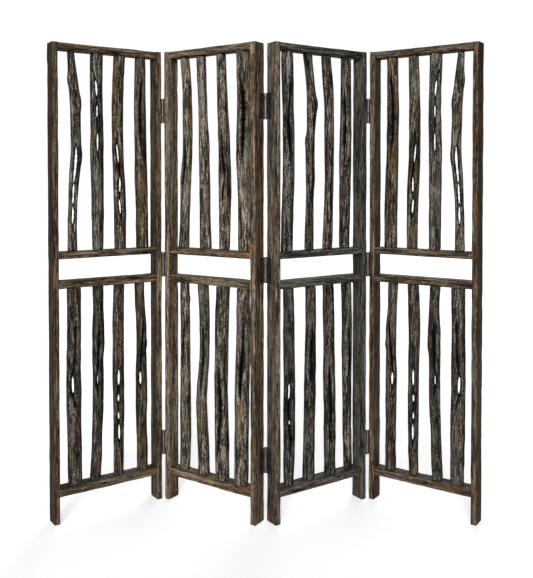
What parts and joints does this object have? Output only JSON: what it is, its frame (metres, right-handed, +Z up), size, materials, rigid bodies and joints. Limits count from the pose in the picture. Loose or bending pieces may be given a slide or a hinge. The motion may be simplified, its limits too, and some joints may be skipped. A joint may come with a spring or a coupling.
{
  "type": "folding room divider screen",
  "caption": "Free-standing folding screen of hinged wooden panels, each a narrow frame with an open band at mid-height and upright natural branch poles above and below it.",
  "frame": {"origin": "on the floor, under the middle of the outline of the screen as it stands half unfolded", "axes": "+Z up; +X along the whole screen, to the right seen from the front; +Y to the back, so the middle hinge line stands nearest the viewer"},
  "size_m": [1.6374, 0.2986, 1.8],
  "materials": {
    "brown_frame_wood": "weathered, wire-brushed boards, brown with grey-black grain",
    "grey_frame_wood": "weathered, wire-brushed boards, greyer",
    "branch_wood": "peeled, weathered branches with open cracks",
    "aged_steel": "dull, darkened steel"
  },
  "bodies": {
    "panel_1": {"panel_1_frame": "brown_frame_wood", "panel_1_lower_branch_1": "branch_wood", "panel_1_lower_branch_2": "branch_wood", "panel_1_lower_branch_3": "branch_wood", "panel_1_lower_branch_4": "branch_wood", "panel_1_upper_branch_1": "branch_wood", "panel_1_upper_branch_2": "branch_wood", "panel_1_upper_branch_3": "branch_wood", "panel_1_upper_branch_4": "branch_wood", "hinge_1_2_top_pin_leaf": "aged_steel", "hinge_1_2_middle_pin_leaf": "aged_steel", "hinge_1_2_bottom_pin_leaf": "aged_steel"},
    "panel_2": {"panel_2_frame": "brown_frame_wood", "panel_2_lower_branch_1": "branch_wood", "panel_2_lower_branch_2": "branch_wood", "panel_2_lower_branch_3": "branch_wood", "panel_2_lower_branch_4": "branch_wood", "panel_2_upper_branch_1": "branch_wood", "panel_2_upper_branch_2": "branch_wood", "panel_2_upper_branch_3": "branch_wood", "panel_2_upper_branch_4": "branch_wood", "hinge_1_2_top_bored_leaf": "aged_steel", "hinge_1_2_middle_bored_leaf": "aged_steel", "hinge_1_2_bottom_bored_leaf": "aged_steel", "hinge_2_3_top_bored_leaf": "aged_steel", "hinge_2_3_middle_bored_leaf": "aged_steel", "hinge_2_3_bottom_bored_leaf": "aged_steel"},
    "panel_3": {"panel_3_frame": "grey_frame_wood", "panel_3_lower_branch_1": "branch_wood", "panel_3_lower_branch_2": "branch_wood", "panel_3_lower_branch_3": "branch_wood", "panel_3_lower_branch_4": "branch_wood", "panel_3_upper_branch_1": "branch_wood", "panel_3_upper_branch_2": "branch_wood", "panel_3_upper_branch_3": "branch_wood", "panel_3_upper_branch_4": "branch_wood", "hinge_2_3_top_pin_leaf": "aged_steel", "hinge_2_3_middle_pin_leaf": "aged_steel", "hinge_2_3_bottom_pin_leaf": "aged_steel", "hinge_3_4_top_pin_leaf": "aged_steel", "hinge_3_4_middle_pin_leaf": "aged_steel", "hinge_3_4_bottom_pin_leaf": "aged_steel"},
    "panel_4": {"panel_4_frame": "brown_frame_wood", "panel_4_lower_branch_1": "branch_wood", "panel_4_lower_branch_2": "branch_wood", "panel_4_lower_branch_3": "branch_wood", "panel_4_lower_branch_4": "branch_wood", "panel_4_upper_branch_1": "branch_wood", "panel_4_upper_branch_2": "branch_wood", "panel_4_upper_branch_3": "branch_wood", "panel_4_upper_branch_4": "branch_wood", "hinge_3_4_top_bored_leaf": "aged_steel", "hinge_3_4_middle_bored_leaf": "aged_steel", "hinge_3_4_bottom_bored_leaf": "aged_steel"}
  },
  "joints": [
    {"name": "fold_1_2", "type": "hinge", "parent": "panel_2", "child": "panel_1", "pos_m": [-0.41163, 0.09902, 0.9], "axis": [0, 0, 1], "range_deg": [-68, 112]},
    {"name": "fold_2_3", "type": "hinge", "parent": "panel_2", "child": "panel_3", "pos_m": [0, -0.09902, 0.9], "axis": [0, 0, 1], "range_deg": [-68, 112]},
    {"name": "fold_3_4", "type": "hinge", "parent": "panel_3", "child": "panel_4", "pos_m": [0.41163, 0.09902, 0.9], "axis": [0, 0, 1], "range_deg": [-112, 68]}
  ]
}
